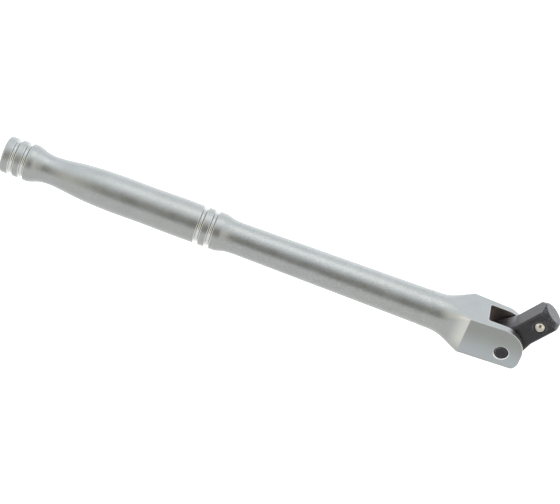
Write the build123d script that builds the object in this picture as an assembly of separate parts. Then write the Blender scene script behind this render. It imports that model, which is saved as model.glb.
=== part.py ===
from build123d import *
import math
import os

# Flex-head breaker bar with a 12.7 mm (1/2 in) square drive, nominal length 300 mm.
# Frame, in millimetres: the origin is the centre of the butt end face, +X runs along the handle's
# axis to the head, +Z is the side the drive swings up to, and Y is along the hinge pin.

# Handle: a turned profile along X, radii measured from the handle's axis.
BUTT_ROUND_R = 1.2
BEAD_R = 9.6
LAST_BEAD_R = 9.8
LAST_BEAD_END_X = 14.2
REAR_GROOVES_X = (5.6, 11.35)
REAR_GROOVE_R = 8.6
SHOULDER_X, SHOULDER_R = 20.2, 8.08
NECK_X, NECK_R = 25.0, 7.45
RISE_X, RISE_R = 37.8, 8.62
SWELL_X, SWELL_R = 58.5, 9.92
WAIST_X, WAIST_R = 76.0, 9.85
PALM_X, PALM_R = 95.0, 10.05
FRONT_GRIP_R = 9.95
FRONT_GROOVES_X = (106.3, 112.2)
FRONT_GROOVE_R = 8.9
GROOVE_HALF_W = 1.1
GROOVE_LIP_R = 0.5
GRIP_END_X = 116.3
STEP_MID_X, STEP_MID_R = 119.9, 9.1
SHAFT_START_X, SHAFT_START_R = 126.6, 8.38
SHAFT_END_X, SHAFT_END_R = 226.0, 9.52

# Head: a forged block, wider at the rear, with a slot for the drive.
HEAD_REAR_X = 249.1
HEAD_TIP_X = 280.3
HEAD_TOP_Z = 10.65
HEAD_BOTTOM_Z = -11.8
HEAD_REAR_HALF_W = 12.05
HEAD_TIP_HALF_W = 9.95
HEAD_EDGE_R = 0.4
HEAD_BOTTOM_R = 2.4
NOSE_TOP_R = 13.1
NOSE_BOTTOM_R = 5.6
SLOT_HALF_W = 6.9
SLOT_FLOOR_X = 258.1
SLOT_CORNER_R = 1.1

# Flare between the round shaft and the head: x, half width, top, bottom, top and bottom corner radius.
FLARE_SECTIONS = (
    (231.0, 9.6, 9.6, 9.6, 9.45, 9.45),
    (236.0, 9.8, 9.78, 9.8, 8.9, 8.9),
    (241.0, 10.25, 10.2, 10.25, 6.2, 6.2),
    (245.4, 11.0, 10.55, 10.95, 3.0, 3.4),
    (HEAD_REAR_X, HEAD_REAR_HALF_W, HEAD_TOP_Z, -HEAD_BOTTOM_Z, HEAD_EDGE_R, HEAD_BOTTOM_R),
)

ROUND_SPLIT = 1.0

# Hinge pin, pressed into both cheeks below the handle's axis.
PIN_X, PIN_Z = 270.1, -3.1
PIN_R = 3.6
PIN_L = 20.9
PIN_CHAMFER = 0.65
PIN_HOLE_CHAMFER = 0.35
REST_ANGLE = 57.0

# Drive: u runs from the hinge to the tip, v across it and y along the pin.
SQUARE = 12.7
SQUARE_EDGE_R = 2.0
DRIVE_END_U = 31.1
END_FACE_R = 6.0
END_EDGE_R = 1.5
END_SLOPE = 0.76
BARREL_R = 8.6
BARREL_W = 13.4
PIN_RUNNING_GAP = 0.04
SHOULDER_U, SHOULDER_V = 5.2, 8.4
SQUARE_ROOT_U = 13.3
ROOT_R = 5.0
DRIVE_EDGE_BREAK = 0.4

# Detent ball in the drive's -Y face, held in by a thin lip below a shallow recess.
DETENT_U = 23.0
BALL_R = 3.2
BALL_BORE_R = 3.27
BALL_LIP_R = 2.95
BALL_LIP_T = 0.4
BALL_RECESS_R = 3.6
BALL_RECESS_T = 0.3
BALL_LIP_GAP = 0.03
BALL_BORE_DEPTH = 9.6
DETENT_WIRE_R = 0.3
DETENT_COIL_R = 2.4
DETENT_TURNS = 4

# Friction plunger in the slot's floor, pressing on the drive's barrel.
PLUNGER_R = 2.7
PLUNGER_BORE_R = 2.78
PLUNGER_BORE_DEPTH = 14.6
PLUNGER_L = 7.7
PLUNGER_NOSE_GAP = 0.05
SPIGOT_R = 1.4
SPIGOT_L = 1.9
FRICTION_WIRE_R = 0.4
FRICTION_COIL_R = 2.1
FRICTION_TURNS = 6

SPRING_END_GAP = 0.03
OVERSIZE = 60.0


def across(x, y=0.0, z=0.0):
    """Plane square to the handle's axis, its local x along +Y and its local y along +Z."""
    return Plane(origin=(x, y, z), x_dir=(0, 1, 0), z_dir=(1, 0, 0))


def side_on(y=0.0):
    """Plane of the handle's side view, its local x along +X and its local y along +Z."""
    return Plane(origin=(0, y, 0), x_dir=(1, 0, 0), z_dir=(0, -1, 0))


def spin(profile, centre_z=0.0):
    """Solid of revolution about a line along X."""
    return revolve(profile, Axis((0, 0, centre_z), (1, 0, 0)))


def groove(x, floor_r, rear_r, front_r):
    """Round-bottomed groove in the turned outline, between surfaces of the two given radii."""
    return ThreePointArc((x - GROOVE_HALF_W, rear_r), (x, floor_r), (x + GROOVE_HALF_W, front_r))


def round_groove_lips(outline):
    """Round the outer corners of every groove in the turned outline."""
    lips = ShapeList()
    for x in REAR_GROOVES_X + FRONT_GROOVES_X:
        for edge_x in (x - GROOVE_HALF_W, x + GROOVE_HALF_W):
            lips += outline.vertices().filter_by_position(Axis.X, edge_x - 0.01, edge_x + 0.01)
    return fillet(lips, GROOVE_LIP_R)


def turned_handle():
    """Butt, grip and shaft as one turned solid."""
    rear_a, rear_b = REAR_GROOVES_X
    front_a, front_b = FRONT_GROOVES_X
    butt_round = RadiusArc((0, BEAD_R - BUTT_ROUND_R), (BUTT_ROUND_R, BEAD_R), BUTT_ROUND_R)
    grip = Spline(
        (LAST_BEAD_END_X, LAST_BEAD_R),
        (SHOULDER_X, SHOULDER_R),
        (NECK_X, NECK_R),
        (RISE_X, RISE_R),
        (SWELL_X, SWELL_R),
        (WAIST_X, WAIST_R),
        (PALM_X, PALM_R),
        (front_a - GROOVE_HALF_W, FRONT_GRIP_R),
        tangents=((1, 0), (1, -0.02)),
        tangent_scalars=(1, 1),
    )
    step = Spline(
        (GRIP_END_X, FRONT_GRIP_R),
        (STEP_MID_X, STEP_MID_R),
        (SHAFT_START_X, SHAFT_START_R),
        tangents=((1, 0), (1, 0.01)),
        tangent_scalars=(1, 1),
    )
    outline = [
        Line((0, 0), (0, BEAD_R - BUTT_ROUND_R)),
        butt_round,
        Line((BUTT_ROUND_R, BEAD_R), (rear_a - GROOVE_HALF_W, BEAD_R)),
        groove(rear_a, REAR_GROOVE_R, BEAD_R, BEAD_R),
        Line((rear_a + GROOVE_HALF_W, BEAD_R), (rear_b - GROOVE_HALF_W, BEAD_R)),
        groove(rear_b, REAR_GROOVE_R, BEAD_R, LAST_BEAD_R),
        Line((rear_b + GROOVE_HALF_W, LAST_BEAD_R), (LAST_BEAD_END_X, LAST_BEAD_R)),
        grip,
        groove(front_a, FRONT_GROOVE_R, FRONT_GRIP_R, FRONT_GRIP_R),
        Line((front_a + GROOVE_HALF_W, FRONT_GRIP_R), (front_b - GROOVE_HALF_W, FRONT_GRIP_R)),
        groove(front_b, FRONT_GROOVE_R, FRONT_GRIP_R, FRONT_GRIP_R),
        Line((front_b + GROOVE_HALF_W, FRONT_GRIP_R), (GRIP_END_X, FRONT_GRIP_R)),
        step,
        Line((SHAFT_START_X, SHAFT_START_R), (SHAFT_END_X, SHAFT_END_R)),
        Line((SHAFT_END_X, SHAFT_END_R), (SHAFT_END_X, 0)),
        Line((SHAFT_END_X, 0), (0, 0)),
    ]
    return spin(round_groove_lips(side_on() * make_face(outline)))


def flare_section(x, half_w, top, bottom, top_r, bottom_r):
    """Rounded rectangle across the handle, with its own radius on the top and bottom corners."""
    section = across(x) * Pos(0, (top - bottom) / 2) * Rectangle(2 * half_w, top + bottom)
    section = fillet([v for v in section.vertices() if v.Z > 0], top_r)
    bottom_corners = [v for v in section.vertices() if v.Z < -bottom / 2 and abs(v.Y) > half_w - bottom_r]
    return fillet([v for v in bottom_corners if v.Z < bottom_r - bottom], bottom_r)


def round_section():
    """The shaft's end circle, split into the same eight edges as the rounded rectangles."""
    arcs = []
    for quarter in range(0, 360, 90):
        arcs.append(CenterArc((0, 0), SHAFT_END_R, quarter - ROUND_SPLIT, 2 * ROUND_SPLIT))
        arcs.append(CenterArc((0, 0), SHAFT_END_R, quarter + ROUND_SPLIT, 90 - 2 * ROUND_SPLIT))
    return across(SHAFT_END_X) * make_face(arcs)


def flare():
    """Forged transition from the round shaft to the rectangular head."""
    sections = [round_section()] + [flare_section(*row) for row in FLARE_SECTIONS]
    below_top = Pos(SHAFT_END_X, 0, HEAD_TOP_Z - OVERSIZE / 2) * Box(2 * OVERSIZE, OVERSIZE, OVERSIZE)
    return loft(sections) & below_top


def bottom_edge_cutter(side_sign):
    """Waste outside the large radius along a cheek's bottom edge."""
    y = side_sign * (HEAD_REAR_HALF_W - HEAD_BOTTOM_R)
    z = HEAD_BOTTOM_Z + HEAD_BOTTOM_R
    size = 2 * HEAD_BOTTOM_R
    corner = Pos(side_sign * size / 2, -size / 2) * Rectangle(size, size) - Circle(HEAD_BOTTOM_R)
    along_cheek = Vector(HEAD_TIP_X - HEAD_REAR_X, side_sign * (HEAD_TIP_HALF_W - HEAD_REAR_HALF_W), 0)
    return extrude(across(HEAD_REAR_X, y, z) * corner, 2 * along_cheek.length, dir=along_cheek.normalized())


def head_block():
    """Head with its rounded nose and tapered cheeks, before the slot and the holes."""
    top_start = (HEAD_TIP_X - NOSE_TOP_R, HEAD_TOP_Z)
    top_end = (HEAD_TIP_X, HEAD_TOP_Z - NOSE_TOP_R)
    bottom_start = (HEAD_TIP_X, HEAD_BOTTOM_Z + NOSE_BOTTOM_R)
    bottom_end = (HEAD_TIP_X - NOSE_BOTTOM_R, HEAD_BOTTOM_Z)
    side = [
        Line((HEAD_REAR_X, HEAD_BOTTOM_Z), (HEAD_REAR_X, HEAD_TOP_Z)),
        Line((HEAD_REAR_X, HEAD_TOP_Z), top_start),
        RadiusArc(top_start, top_end, NOSE_TOP_R),
        Line(top_end, bottom_start),
        RadiusArc(bottom_start, bottom_end, NOSE_BOTTOM_R),
        Line(bottom_end, (HEAD_REAR_X, HEAD_BOTTOM_Z)),
    ]
    plan = Polyline(
        (HEAD_REAR_X, -HEAD_REAR_HALF_W),
        (HEAD_TIP_X, -HEAD_TIP_HALF_W),
        (HEAD_TIP_X, HEAD_TIP_HALF_W),
        (HEAD_REAR_X, HEAD_REAR_HALF_W),
        close=True,
    )
    block = extrude(side_on() * make_face(side), OVERSIZE / 2, both=True)
    block &= extrude(make_face(plan), OVERSIZE / 2, both=True)
    outer_edges = [
        e
        for e in block.edges()
        if abs(e.center().Y) > HEAD_TIP_HALF_W - 1 and e.center().X > HEAD_REAR_X + 1
    ]
    block = fillet(outer_edges, HEAD_EDGE_R)
    for side_sign in (-1, 1):
        block -= bottom_edge_cutter(side_sign)
    return block


def slot():
    """Through slot between the cheeks, its floor corners rounded."""
    length = HEAD_TIP_X + 5 - SLOT_FLOOR_X
    cutter = Pos(SLOT_FLOOR_X + length / 2, 0, 0) * Box(length, 2 * SLOT_HALF_W, OVERSIZE)
    floor_edges = cutter.edges().filter_by(Axis.Z).sort_by(Axis.X)[:2]
    return fillet(floor_edges, SLOT_CORNER_R)


def cheek_half_w(x):
    """Distance from the handle's axis to the outside of a cheek."""
    share = (x - HEAD_REAR_X) / (HEAD_TIP_X - HEAD_REAR_X)
    return HEAD_REAR_HALF_W + share * (HEAD_TIP_HALF_W - HEAD_REAR_HALF_W)


def pin_hole():
    """Pin hole through both cheeks with a small chamfer at each mouth."""
    hole = Pos(PIN_X, 0, PIN_Z) * Rot(90, 0, 0) * Cylinder(PIN_R, OVERSIZE)
    mouth = cheek_half_w(PIN_X)
    for side in (-1, 1):
        cone = Cone(PIN_R, PIN_R + 2 * PIN_HOLE_CHAMFER, 2 * PIN_HOLE_CHAMFER)
        hole += Pos(PIN_X, side * mouth, PIN_Z) * Rot(-90 * side, 0, 0) * cone
    return hole


def handle_bar():
    """One-piece handle: grip, shaft and forked head."""
    bore = Cylinder(PLUNGER_BORE_R, 2 * PLUNGER_BORE_DEPTH)
    bar = turned_handle() + flare() + head_block()
    bar -= slot()
    bar -= pin_hole()
    return bar - Pos(SLOT_FLOOR_X, 0, PIN_Z) * Rot(0, 90, 0) * bore


def hinge_pin():
    """Plain pin with chamfered ends."""
    pin = Cylinder(PIN_R, PIN_L)
    pin = chamfer(pin.edges().filter_by(GeomType.CIRCLE), PIN_CHAMFER)
    return Pos(PIN_X, 0, PIN_Z) * Rot(90, 0, 0) * pin


def on_drive(shape):
    """Place a shape modelled with the hinge at its origin and its tip along +X."""
    return Pos(PIN_X, 0, PIN_Z) * Rot(0, -REST_ANGLE, 0) * shape


def drive_shank():
    """Neck and square: sloping flanks run into the square's flats, all long edges rounded alike."""
    half = SQUARE / 2
    side = Polyline(
        (0, -SHOULDER_V),
        (SHOULDER_U, -SHOULDER_V),
        (SQUARE_ROOT_U, -half),
        (DRIVE_END_U, -half),
        (DRIVE_END_U, half),
        (SQUARE_ROOT_U, half),
        (SHOULDER_U, SHOULDER_V),
        (0, SHOULDER_V),
        close=True,
    )
    profile = side_on() * make_face(side)
    bends = profile.vertices().filter_by_position(Axis.X, 1, DRIVE_END_U - 1)
    shank = extrude(fillet(bends, ROOT_R), half, both=True)
    side_edges = [e for e in shank.edges() if abs(e.center().Y) > half - 0.1]
    long_edges = ShapeList(side_edges).filter_by_position(Axis.X, 0.1, DRIVE_END_U - 0.1)
    return fillet(long_edges, SQUARE_EDGE_R)


def drive_end():
    """Turned envelope of the square's tapered end."""
    taper_l = (SQUARE - END_FACE_R) / END_SLOPE
    outline = Polyline(
        (0, 0),
        (0, SQUARE),
        (DRIVE_END_U - taper_l, SQUARE),
        (DRIVE_END_U, END_FACE_R),
        (DRIVE_END_U, 0),
        close=True,
    )
    face = side_on() * make_face(outline)
    rim = face.vertices().filter_by_position(Axis.X, DRIVE_END_U - 0.1, DRIVE_END_U + 0.1)
    rim = rim.sort_by(Axis.Z)[-1]
    return spin(fillet(rim, END_EDGE_R))


def detent_bore():
    """Bore for the ball, its thin retaining lip and the shallow recess around it."""
    face = -SQUARE / 2
    lip_end = BALL_RECESS_T + BALL_LIP_T
    steps = (
        (BALL_RECESS_R, -1.0, BALL_RECESS_T),
        (BALL_LIP_R, 0.0, lip_end),
        (BALL_BORE_R, lip_end, BALL_BORE_DEPTH),
    )
    bore = Part()
    for radius, start, end in steps:
        bore += Pos(DETENT_U, face + (start + end) / 2, 0) * Rot(90, 0, 0) * Cylinder(radius, end - start)
    return bore


def drive_tang():
    """Swinging drive: barrel on the pin, neck, square shank and the detent's bore."""
    barrel = Rot(90, 0, 0) * Cylinder(BARREL_R, BARREL_W)
    barrel = chamfer(barrel.edges().filter_by(GeomType.CIRCLE), DRIVE_EDGE_BREAK)
    tang = barrel + (drive_shank() & drive_end())
    tang -= Rot(90, 0, 0) * Cylinder(PIN_R + PIN_RUNNING_GAP, OVERSIZE)
    return on_drive(tang - detent_bore())


def ball_centre_y():
    """The ball's centre along the pin's direction, with the ball up against its lip."""
    below_lip = math.sqrt(BALL_R**2 - BALL_LIP_R**2) + BALL_LIP_GAP
    return -SQUARE / 2 + BALL_RECESS_T + BALL_LIP_T + below_lip


def detent_ball():
    """Steel ball that latches a socket."""
    return on_drive(Pos(DETENT_U, ball_centre_y(), 0) * Sphere(BALL_R))


def coil(length, coil_r, wire_r, turns):
    """Coil spring standing on its origin along +Z, inside the given length."""
    rise = length - 2 * wire_r
    path = Helix(pitch=rise / turns, height=rise, radius=coil_r)
    wire = Plane(origin=path @ 0, z_dir=path % 0) * Circle(wire_r)
    return Pos(0, 0, wire_r) * sweep(wire, path=path, is_frenet=True)


def detent_spring():
    """Coil spring behind the detent ball."""
    floor = -SQUARE / 2 + BALL_BORE_DEPTH - SPRING_END_GAP
    contact = ball_centre_y() + math.sqrt(BALL_R**2 - (DETENT_COIL_R - DETENT_WIRE_R) ** 2)
    spring = coil(floor - contact - DETENT_WIRE_R, DETENT_COIL_R, DETENT_WIRE_R, DETENT_TURNS)
    return on_drive(Pos(DETENT_U, floor, 0) * Rot(90, 0, 0) * spring)


def plunger_back_x():
    """Rear face of the plunger's body, where its spring bears."""
    return PIN_X - BARREL_R - PLUNGER_NOSE_GAP - PLUNGER_L


def friction_plunger():
    """Round-nosed plunger with a spigot that centres its spring."""
    body_l = PLUNGER_L - PLUNGER_R
    plunger = Pos(body_l / 2, 0, 0) * Rot(0, 90, 0) * Cylinder(PLUNGER_R, body_l)
    plunger += Pos(body_l, 0, 0) * Sphere(PLUNGER_R)
    plunger += Pos(-SPIGOT_L / 2, 0, 0) * Rot(0, 90, 0) * Cylinder(SPIGOT_R, SPIGOT_L)
    return Pos(plunger_back_x(), 0, PIN_Z) * plunger


def friction_spring():
    """Coil spring between the plunger and the bottom of its bore."""
    floor = SLOT_FLOOR_X - PLUNGER_BORE_DEPTH + SPRING_END_GAP
    length = plunger_back_x() - SPRING_END_GAP - floor
    spring = coil(length, FRICTION_COIL_R, FRICTION_WIRE_R, FRICTION_TURNS)
    return Pos(floor, 0, PIN_Z) * Rot(0, 90, 0) * spring


def main():
    os.makedirs("parts", exist_ok=True)
    export_step(handle_bar(), "parts/handle_bar.step")
    export_step(hinge_pin(), "parts/hinge_pin.step")
    export_step(drive_tang(), "parts/drive_tang.step")
    export_step(detent_ball(), "parts/detent_ball.step")
    export_step(detent_spring(), "parts/detent_spring.step")
    export_step(friction_plunger(), "parts/friction_plunger.step")
    export_step(friction_spring(), "parts/friction_spring.step")


main()
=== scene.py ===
import math

import bpy
from mathutils import Matrix, Vector

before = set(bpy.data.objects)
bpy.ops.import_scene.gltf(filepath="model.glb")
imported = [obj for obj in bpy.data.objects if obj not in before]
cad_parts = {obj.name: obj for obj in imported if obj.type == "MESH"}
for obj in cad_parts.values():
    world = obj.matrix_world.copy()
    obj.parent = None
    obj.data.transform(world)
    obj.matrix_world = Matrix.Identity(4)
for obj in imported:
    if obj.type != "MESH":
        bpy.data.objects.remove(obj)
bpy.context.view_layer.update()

# Places on the CAD model that the materials follow, in metres.
GROOVES_X = (0.0056, 0.01135, 0.1063, 0.1122)
GROOVE_HALF_W = 0.0013
HANDLE_MIDDLE_X = 0.15
SHAFT_MIDDLE_X = 0.178
SHAFT_HALF_L = 0.052
FLARE_X = 0.2405
HEAD_REAR_X = 0.2491
SLOT_FLOOR_X = 0.2581
SLOT_HALF_W = 0.0069
HINGE = (0.2701, 0.0, -0.0031)
DRIVE_ANGLE = math.radians(57.0)
BARREL_R = 0.0086
NECK_FROM_HINGE = 0.0108
LATCH_FROM_HINGE = 0.020
TIP_FROM_HINGE = 0.0285
PLUNGER_NOSE_X = 0.2595
PIN_R = 0.0036
PIN_RING_PITCH = 0.00028

# Low enough to stay clear of the drive when it swings down.
FLOOR_Z = -0.041
FLOOR_SIZE = 8
# Glow of the floor in front of the handle and behind it.
FLOOR_GLOW = (0.76, 1.22)

# Linear colours. A pair is the dark and the light end of one finish.
SATIN = ((0.340, 0.350, 0.345, 1), (0.380, 0.393, 0.388, 1))
SATIN_PATCH = (0.365, 0.37, 0.345, 1)
GRIT_DARK = (0.24, 0.235, 0.215, 1)
GRIT_LIGHT = (0.50, 0.515, 0.52, 1)
# Brushed cheeks: painted shade on top, painted reflection of the floor at the bottom.
CHEEK_TOP_PAINTED_SHADE = ((0.225, 0.232, 0.216, 1), (0.30, 0.31, 0.29, 1))
CHEEK_BOTTOM_PAINTED_REFLECTION = ((0.355, 0.385, 0.395, 1), (0.43, 0.462, 0.475, 1))
# Painted highlight: a cream band where the shaft flares into the cheeks.
FLARE_HIGHLIGHT = (0.62, 0.62, 0.575, 1)
# Polished grooves, also painted as highlight lines.
GROOVE_POLISH_AND_HIGHLIGHT = (0.62, 0.62, 0.60, 1)
# Painted highlight along edges and corners.
CHROME_EDGE_HIGHLIGHT = (0.70, 0.71, 0.72, 1)
# Painted highlight: a bright ring round the pin hole.
HOLE_RIM_HIGHLIGHT = (0.72, 0.74, 0.74, 1)
SLOT_WALL = ((0.40, 0.36, 0.33, 1), (0.60, 0.55, 0.51, 1))
PIT = (0.12, 0.11, 0.10, 1)
OXIDE = ((0.004, 0.004, 0.0052, 1), (0.010, 0.009, 0.012, 1))
OXIDE_BRUSHED = (0.045, 0.043, 0.042, 1)
# Worn steel, also used as painted highlights on the drive's neck and the pin's chamfer.
DRIVE_STEEL_AND_HIGHLIGHT = (0.20, 0.195, 0.19, 1)
PIN_STEEL_AND_HIGHLIGHT = (0.30, 0.30, 0.295, 1)
BALL = ((0.41, 0.375, 0.325, 1), (0.51, 0.475, 0.42, 1))
PLUNGER = ((0.30, 0.29, 0.28, 1), (0.42, 0.415, 0.41, 1))
PLUNGER_NOSE = (0.60, 0.59, 0.57, 1)
SPRING = (0.34, 0.335, 0.33, 1)
SPRING_OIL = (0.17, 0.15, 0.125, 1)
FLOOR = ((0.215, 0.22, 0.225, 1), (0.23, 0.23, 0.23, 1))
ROOM_FRONT = (0.175, 0.17, 0.16, 1)
ROOM_SIDES = (1.50, 1.46, 1.34, 1)
ROOM_ABOVE = (1.36, 1.42, 1.49, 1)
ROOM_BEHIND = (1.90, 1.94, 2.0, 1)

# The thin oily film on black oxide, seen as a soft coat and a faint sheen.
OXIDE_FILM = {
    "Specular IOR Level": 0.05,
    "Coat Weight": 0.75, "Coat Roughness": 0.3, "Coat Tint": (0.94, 0.93, 1, 1),
    "Sheen Weight": 0.22, "Sheen Roughness": 0.33, "Sheen Tint": (0.96, 0.93, 1, 1),
}

# The camera that matches the photograph: its axes, place and lens.
CAMERA_RIGHT = Vector((0.93855, 0.21152, 0.27274))
CAMERA_DOWN = Vector((0.3444, -0.52191, -0.78038))
CAMERA_PLACE = (0.16454, -0.5817, 0.3972)
LENS_MM = 89.19
SENSOR_MM = 36


# Node helpers.

class Tree:
    """A material's node tree, with one short call per node."""

    def __init__(self, tree):
        self.tree = tree

    def add(self, kind, inputs=(), **settings):
        """Make a node; inputs are values or sockets by name or place. Returns the node."""
        made = self.tree.nodes.new("ShaderNode" + kind)
        for key, value in settings.items():
            setattr(made, key, value)
        for key, value in dict(inputs).items():
            if isinstance(value, bpy.types.NodeSocket):
                self.tree.links.new(value, made.inputs[key])
            else:
                made.inputs[key].default_value = value
        return made

    def math(self, operation, *values):
        return self.add("Math", enumerate(values), operation=operation).outputs[0]

    def times(self, first, *factors):
        product = first
        for factor in factors:
            product = self.math("MULTIPLY", product, factor)
        return product

    def plus(self, a, b):
        return self.math("ADD", a, b)

    def minus(self, a, b):
        return self.math("SUBTRACT", a, b)

    def most(self, a, b):
        return self.math("MAXIMUM", a, b)

    def away(self, value):
        """A value without its sign."""
        return self.math("ABSOLUTE", value)

    def axes(self, vector):
        """The x, y and z sockets of a vector."""
        return self.add("SeparateXYZ", {0: vector}).outputs

    def from_y_axis(self, x, z):
        return self.math("SQRT", self.plus(self.math("POWER", x, 2.0), self.math("POWER", z, 2.0)))

    def ramp(self, value, low, high, to_low=0.0, to_high=1.0):
        """Smooth step of a value between two limits."""
        inputs = {"Value": value, "From Min": low, "From Max": high,
                  "To Min": to_low, "To Max": to_high}
        return self.add("MapRange", inputs, interpolation_type="SMOOTHSTEP").outputs["Result"]

    def window(self, value, middle, half, soft):
        """1 where a value is within half of the middle, with soft ends."""
        return self.ramp(self.away(self.minus(value, middle)), half + soft, half)

    def mix(self, factor, a, b):
        """Blend of two colours."""
        inputs = {"Factor": factor, 6: a, 7: b}
        return self.add("Mix", inputs, data_type="RGBA").outputs[2]

    def blend(self, factor, a, b):
        """Blend of two numbers."""
        return self.add("Mix", {"Factor": factor, 2: a, 3: b}, data_type="FLOAT").outputs[0]

    def place(self, source, location=(0, 0, 0), rotation=(0, 0, 0), scale=(1, 1, 1)):
        inputs = {"Vector": source, "Location": location, "Rotation": rotation, "Scale": scale}
        return self.add("Mapping", inputs).outputs[0]

    def noise(self, source, scale, detail, rough, stretch=(1, 1, 1)):
        spread = self.place(source, scale=stretch)
        inputs = {"Vector": spread, "Scale": scale, "Detail": detail, "Roughness": rough}
        return self.add("TexNoise", inputs).outputs[0]

    def specks(self, source, scale, radius, share):
        """Small round marks in a share of the cells of a random grid."""
        cells = self.add("TexVoronoi", {"Vector": source, "Scale": scale})
        draw = self.add("SeparateColor", {0: cells.outputs["Color"]}).outputs[0]
        near = self.ramp(cells.outputs["Distance"], radius, radius * 0.4)
        return self.times(self.math("LESS_THAN", draw, share), near)

    def true_normal(self):
        return self.add("NewGeometry").outputs["True Normal"]

    def edges(self, radius):
        """1 on edges and corners of the mesh, 0 on its flats."""
        rounded = self.add("Bevel", {"Radius": radius}, samples=6).outputs[0]
        inputs = {0: rounded, 1: self.true_normal()}
        facing = self.add("VectorMath", inputs, operation="DOT_PRODUCT").outputs["Value"]
        return self.ramp(facing, 0.995, 0.88)

    def bump(self, height, distance, strength, after=None):
        """Relief from a height of 0 to 1, distance metres deep, on top of the one before."""
        inputs = {"Height": height, "Distance": distance, "Strength": strength}
        if after:
            inputs["Normal"] = after
        return self.add("Bump", inputs).outputs[0]


def material(name, slot_look):
    """New material; slot_look(tree, coordinates) returns the principled shader's inputs."""
    made = bpy.data.materials.new(name)
    made.use_nodes = True
    tree = Tree(made.node_tree)
    coordinates = tree.add("TexCoord").outputs["Object"]
    shader = made.node_tree.nodes["Principled BSDF"]
    for key, value in slot_look(tree, coordinates).items():
        if isinstance(value, bpy.types.NodeSocket):
            made.node_tree.links.new(value, shader.inputs[key])
        else:
            shader.inputs[key].default_value = value
    return made


def from_hinge(tree, at):
    """Coordinates with the hinge at the origin."""
    return tree.place(at, location=tuple(-c for c in HINGE))


# Finishes.

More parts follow.
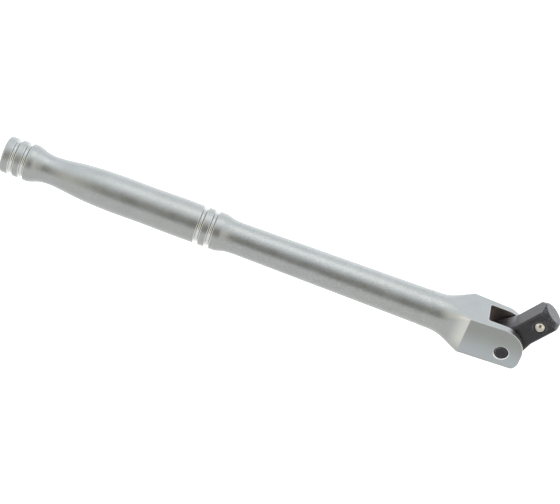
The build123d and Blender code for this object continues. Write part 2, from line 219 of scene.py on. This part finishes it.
def chrome_look(tree, at):
    """Satin plate: a turned shaft, brushed cheeks with painted shade on top and a painted floor
    reflection below, polished grooves with painted highlights, painted highlights on edges, where
    the shaft flares and round the pin hole, and a bright slot.
    """
    x, y, z = tree.axes(at)
    sideways = tree.away(tree.axes(tree.true_normal())[1])
    cloud = tree.noise(at, scale=110.0, detail=4.0, rough=0.55)

    # Areas: 1 inside, 0 outside.
    groove = 0.0
    for groove_x in GROOVES_X:
        groove = tree.most(groove, tree.window(x, groove_x, GROOVE_HALF_W, 0.0003))
    head = tree.ramp(x, HEAD_REAR_X - 0.0002, HEAD_REAR_X + 0.0002)
    cheek = tree.times(head, tree.ramp(sideways, 0.985, 0.995))
    flare_highlight = tree.times(tree.minus(1.0, head), tree.ramp(x, FLARE_X, HEAD_REAR_X - 0.001),
                       tree.ramp(sideways, 0.45, 0.85), tree.ramp(z, -0.010, -0.002, 0.2, 0.8))
    in_slot = tree.times(tree.ramp(x, SLOT_FLOOR_X - 0.0004, SLOT_FLOOR_X - 0.0001),
                         tree.ramp(tree.away(y), SLOT_HALF_W + 0.0003, SLOT_HALF_W + 0.0001))
    edge = tree.times(tree.edges(0.0007), tree.ramp(cloud, 0.2, 0.6, 0.35, 0.9))
    from_pin = tree.from_y_axis(tree.minus(x, HINGE[0]), tree.minus(z, HINGE[2]))
    hole_rim_highlight = tree.times(head, tree.window(from_pin, PIN_R + 0.00025, 0.00018, 0.0001))
    shaft = tree.window(x, SHAFT_MIDDLE_X, SHAFT_HALF_L, 0.012)
    # Painted shade and reflection on the cheeks: darker towards the top, lighter towards the
    # bottom.
    low = tree.ramp(z, 0.007, -0.009)

    # Tool marks run round the shaft, along it, and across the cheeks.
    turned = tree.noise(at, scale=900.0, detail=3.0, rough=0.6, stretch=(4.0, 0.35, 0.35))
    drawn = tree.noise(at, scale=500.0, detail=4.0, rough=0.6, stretch=(0.12, 1.5, 1.5))
    leaning = tree.place(at, rotation=(0, math.radians(28), 0))
    ground = tree.noise(leaning, scale=700.0, detail=3.0, rough=0.6, stretch=(3.0, 1.0, 0.12))
    patch = tree.noise(at, scale=30.0, detail=2.0, rough=0.5, stretch=(0.5, 1, 1))
    speckle = tree.noise(at, scale=1300.0, detail=3.0, rough=0.65)
    grit = tree.times(tree.blend(shaft, 0.20, 0.38), tree.ramp(x, 0.246, 0.236, 0.3, 1.0))
    pit = tree.specks(at, scale=160.0, radius=0.07, share=0.018)
    fleck = tree.specks(at, scale=420.0, radius=0.16, share=0.03)

    tone = tree.mix(tree.ramp(cloud, 0.25, 0.75), *SATIN)
    tone = tree.mix(tree.times(tree.ramp(patch, 0.35, 0.7), 0.35), tone, SATIN_PATCH)
    tone = tree.mix(tree.times(grit, tree.ramp(speckle, 0.5, 0.32)), tone, GRIT_DARK)
    tone = tree.mix(tree.times(grit, tree.ramp(speckle, 0.5, 0.68)), tone, GRIT_LIGHT)
    # Brushed cheek tone with painted shade on top and a painted floor reflection below.
    brushed = tree.mix(low, tree.mix(ground, *CHEEK_TOP_PAINTED_SHADE), tree.mix(ground, *CHEEK_BOTTOM_PAINTED_REFLECTION))
    tone = tree.mix(tree.times(cheek, 0.85), tone, brushed)
    # Painted highlight where the shaft flares into the head, fading lower down.
    tone = tree.mix(flare_highlight, tone, FLARE_HIGHLIGHT)
    # Polished grooves with painted highlight lines, stronger lower down the handle.
    tone = tree.mix(tree.times(groove, tree.ramp(z, 0.006, 0.001, 0.15, 0.9)), tone, GROOVE_POLISH_AND_HIGHLIGHT)
    # Painted highlight along the edges and corners.
    tone = tree.mix(edge, tone, CHROME_EDGE_HIGHLIGHT)
    # Painted highlight: a bright ring round the pin hole.
    tone = tree.mix(tree.times(hole_rim_highlight, tree.ramp(cloud, 0.3, 0.6, 0.4, 1.0)), tone, HOLE_RIM_HIGHLIGHT)
    tone = tree.mix(in_slot, tone, tree.mix(cloud, *SLOT_WALL))
    tone = tree.mix(tree.most(tree.times(pit, 0.8), tree.times(fleck, 0.35)), tone, PIT)

    rough = tree.ramp(cloud, 0.2, 0.8, 0.34, 0.41)
    rough = tree.plus(rough, tree.times(tree.minus(turned, 0.5), 0.2))
    rough = tree.blend(cheek, rough, tree.ramp(ground, 0.3, 0.7, 0.36, 0.48))
    rough = tree.blend(groove, rough, 0.2)
    rough = tree.blend(tree.times(edge, 0.7), rough, 0.2)
    rough = tree.blend(in_slot, rough, 0.34)

    grain = tree.blend(head, tree.plus(turned, tree.times(drawn, 0.7)), ground)
    relief = tree.bump(grain, 0.000012, 0.5)
    relief = tree.bump(cloud, 0.00005, 0.35, relief)
    relief = tree.bump(tree.times(speckle, grit), 0.00003, 0.4, relief)
    relief = tree.bump(tree.minus(1.0, pit), 0.00008, 0.6, relief)
    # Painted highlight: the head's edges are made less metallic so they look lighter.
    metal = tree.minus(1.0, tree.times(edge, head, 0.5))
    return {"Base Color": tone, "Metallic": metal, "Roughness": rough, "Normal": relief}


def black_oxide(tree, at, wear_radius, wear_low, wear_high):
    """Shared black oxide: returns base colour, roughness, edge wear and a fine relief."""
    cloud = tree.noise(at, scale=260.0, detail=4.0, rough=0.6)
    fine = tree.noise(at, scale=2600.0, detail=3.0, rough=0.6)
    brushed = tree.noise(at, scale=1500.0, detail=3.0, rough=0.6, stretch=(0.1, 1.2, 1.2))
    broken = tree.ramp(tree.plus(cloud, tree.times(fine, 0.3)), wear_low, wear_high)
    worn = tree.times(tree.edges(wear_radius), broken)
    tone = tree.mix(tree.ramp(cloud, 0.3, 0.7), *OXIDE)
    tone = tree.mix(tree.times(tree.ramp(brushed, 0.55, 0.75), 0.35), tone, OXIDE_BRUSHED)
    rough = tree.ramp(tree.plus(cloud, tree.times(brushed, 0.4)), 0.4, 1.0, 0.22, 0.34)
    relief = tree.bump(tree.plus(brushed, tree.times(fine, 0.5)), 0.00001, 0.5)
    relief = tree.bump(cloud, 0.00003, 0.3, relief)
    return tone, rough, worn, relief


def drive_look(tree, at):
    """Black oxide, worn to steel where the plunger rubs and at the tip, with a painted highlight of
    steel on one flank of the neck.
    """
    along = tree.place(from_hinge(tree, at), rotation=(0, DRIVE_ANGLE, 0))
    x, y, z = tree.axes(along)
    tone, rough, worn, relief = black_oxide(tree, along, 0.0006, 0.35, 0.75)
    from_pin = tree.from_y_axis(x, z)
    barrel = tree.times(tree.window(from_pin, BARREL_R, 0.0002, 0.0002), tree.ramp(x, 0.004, 0.002))
    rubbed = tree.times(barrel, tree.window(y, 0.0, 0.0012, 0.001))
    # Painted highlight: steel colour and metal on the upper flank of the neck.
    neck = tree.times(tree.window(x, NECK_FROM_HINGE, 0.0012, 0.0018),
                      tree.ramp(z, 0.0035, 0.006), tree.ramp(y, -0.003, 0.004))
    scratches = tree.noise(along, scale=700.0, detail=4.0, rough=0.65)
    latch = tree.times(tree.ramp(x, LATCH_FROM_HINGE, TIP_FROM_HINGE), scratches)
    scuff = tree.times(tree.ramp(latch, 0.5, 0.72), 0.35)
    bare_steel_and_highlight = tree.most(tree.times(worn, 0.55), tree.most(tree.times(rubbed, 0.6), scuff))
    # Worn spots, plus the painted highlight on the neck.
    bare_steel_and_highlight = tree.most(bare_steel_and_highlight, tree.times(neck, 0.5))
    tone = tree.mix(bare_steel_and_highlight, tone, DRIVE_STEEL_AND_HIGHLIGHT)
    rough = tree.blend(tree.times(bare_steel_and_highlight, 0.5), rough, 0.24)
    return {"Base Color": tone, "Metallic": bare_steel_and_highlight, "Roughness": rough, "Normal": relief,
            **OXIDE_FILM}


def pin_look(tree, at):
    """Black oxide with turned rings, and a painted highlight of steel on the chamfer on the side
    away from the nose.
    """
    local = from_hinge(tree, at)
    x, _, z = tree.axes(local)
    from_axis = tree.from_y_axis(x, z)
    tone, rough, worn, relief = black_oxide(tree, local, 0.0004, 0.3, 0.6)
    rings = tree.math("SINE", tree.times(from_axis, 2 * math.pi / PIN_RING_PITCH))
    # Painted highlight: steel colour on the chamfer, on the side away from the nose.
    chamfer = tree.times(tree.window(from_axis, PIN_R - 0.0003, 0.00025, 0.0001),
                         tree.ramp(x, 0.001, -0.003, 0.0, 0.5))
    bare_steel_and_highlight = tree.most(tree.times(worn, 0.5), chamfer)
    tone = tree.mix(bare_steel_and_highlight, tone, PIN_STEEL_AND_HIGHLIGHT)
    rough = tree.blend(tree.times(bare_steel_and_highlight, 0.6), rough, 0.22)
    relief = tree.bump(rings, 0.000006, 0.5, relief)
    return {"Base Color": tone, "Metallic": bare_steel_and_highlight, "Roughness": rough, "Normal": relief,
            **OXIDE_FILM}


def ball_look(tree, at):
    """Polished steel with a little haze and a few fine scratches."""
    haze = tree.noise(at, scale=900.0, detail=3.0, rough=0.5)
    scratch = tree.noise(at, scale=2400.0, detail=2.0, rough=0.6, stretch=(0.08, 1, 1))
    tone = tree.mix(tree.ramp(haze, 0.3, 0.7), *BALL)
    rough = tree.plus(tree.ramp(haze, 0.3, 0.7, 0.05, 0.10),
                      tree.times(tree.ramp(scratch, 0.6, 0.75), 0.08))
    relief = tree.bump(scratch, 0.000003, 0.4)
    return {"Base Color": tone, "Metallic": 1.0, "Roughness": rough, "Normal": relief}


def plunger_look(tree, at):
    """Turned steel with a nose polished by the drive."""
    x = tree.axes(at)[0]
    cloud = tree.noise(at, scale=500.0, detail=4.0, rough=0.6)
    turned = tree.noise(at, scale=1800.0, detail=3.0, rough=0.6, stretch=(3.0, 0.3, 0.3))
    nose = tree.ramp(x, PLUNGER_NOSE_X, PLUNGER_NOSE_X + 0.001)
    tone = tree.mix(tree.ramp(cloud, 0.3, 0.7), *PLUNGER)
    tone = tree.mix(tree.times(nose, 0.7), tone, PLUNGER_NOSE)
    rough = tree.blend(nose, tree.ramp(turned, 0.3, 0.7, 0.26, 0.42), 0.16)
    relief = tree.bump(turned, 0.00001, 0.5)
    return {"Base Color": tone, "Metallic": 1.0, "Roughness": rough, "Normal": relief}


def spring_look(tree, at):
    """Drawn wire with patches of oil."""
    cloud = tree.noise(at, scale=700.0, detail=4.0, rough=0.6)
    drawn = tree.noise(at, scale=3000.0, detail=3.0, rough=0.6, stretch=(2.0, 0.4, 0.4))
    oil = tree.ramp(cloud, 0.45, 0.65)
    tone = tree.mix(oil, SPRING, SPRING_OIL)
    rough = tree.blend(oil, tree.ramp(drawn, 0.3, 0.7, 0.28, 0.42), 0.2)
    relief = tree.bump(drawn, 0.000008, 0.5)
    return {"Base Color": tone, "Metallic": 1.0, "Roughness": rough, "Normal": relief}


def floor_look(tree, at):
    """Pale paint that glows, a little less in front of the handle than behind it."""
    y = tree.axes(at)[1]
    mottle = tree.noise(at, scale=6.0, detail=3.0, rough=0.5)
    return {"Base Color": tree.mix(mottle, *FLOOR),
            "Roughness": tree.ramp(mottle, 0.3, 0.7, 0.85, 0.95),
            "Emission Color": (1, 1, 1, 1),
            "Emission Strength": tree.ramp(y, -0.03, 0.03, *FLOOR_GLOW)}


FINISHES = {
    "handle_bar": material("satin_chrome", chrome_look),
    "hinge_pin": material("black_oxide_pin", pin_look),
    "drive_tang": material("black_oxide_drive", drive_look),
    "detent_ball": material("ball_steel", ball_look),
    "friction_plunger": material("plunger_steel", plunger_look),
    "detent_spring": material("spring_steel", spring_look),
}
FINISHES["friction_spring"] = FINISHES["detent_spring"]

for node, finish in FINISHES.items():
    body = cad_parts[node]
    for place in body.material_slots:
        place.material = finish
    if not body.material_slots:
        body.data.materials.append(finish)


# Floor, light and camera.

def floor():
    bpy.ops.mesh.primitive_plane_add(size=FLOOR_SIZE, location=(HANDLE_MIDDLE_X, 0, FLOOR_Z))
    plane = bpy.context.object
    plane.name = "floor"
    plane.data.materials.append(material("floor_paint", floor_look))


def studio_world():
    """Dim room in front, pale room overhead, behind and at the sides."""
    world = bpy.data.worlds.new("studio")
    bpy.context.scene.world = world
    world.use_nodes = True
    tree = Tree(world.node_tree)
    direction = tree.add("TexCoord").outputs["Generated"]
    x, y, z = tree.axes(direction)
    inputs = {0: direction, 1: (0, 0.5, 0.866)}
    towards = tree.add("VectorMath", inputs, operation="DOT_PRODUCT").outputs["Value"]
    above = tree.ramp(towards, 0.06, 0.70)
    sides = tree.ramp(tree.away(x), 0.12, 0.60)
    behind = tree.times(tree.ramp(y, 0.6, 0.9), tree.ramp(z, 0.40, 0.15))
    colour = tree.mix(sides, ROOM_FRONT, ROOM_SIDES)
    colour = tree.mix(above, colour, ROOM_ABOVE)
    colour = tree.mix(behind, colour, ROOM_BEHIND)
    background = world.node_tree.nodes["Background"]
    world.node_tree.links.new(colour, background.inputs["Color"])


def area(name, location, target, size, size_y, power, colour):
    """Rectangular light that faces its target."""
    light = bpy.data.lights.new(name, "AREA")
    light.shape = "RECTANGLE"
    light.size = size
    light.size_y = size_y
    light.energy = power
    light.color = colour
    lamp = bpy.data.objects.new(name, light)
    bpy.context.collection.objects.link(lamp)
    lamp.location = location
    lamp.rotation_euler = (Vector(target) - Vector(location)).to_track_quat("-Z", "Y").to_euler()


def camera():
    """Long lens, in front of the handle and above it."""
    lens = bpy.data.cameras.new("camera")
    lens.lens = LENS_MM
    lens.sensor_width = SENSOR_MM
    eye = bpy.data.objects.new("camera", lens)
    bpy.context.collection.objects.link(eye)
    forward = CAMERA_RIGHT.cross(CAMERA_DOWN)
    turn = Matrix((CAMERA_RIGHT, -CAMERA_DOWN, -forward)).transposed()
    eye.matrix_world = Matrix.Translation(CAMERA_PLACE) @ turn.to_4x4()
    bpy.context.scene.camera = eye


floor()
studio_world()
area("top_box", location=(HANDLE_MIDDLE_X, 0.05, 1.0), target=(HANDLE_MIDDLE_X, 0, 0),
     size=0.6, size_y=0.55, power=0.85, colour=(1.0, 0.97, 0.92))
camera()
bpy.context.scene.view_settings.view_transform = "Standard"
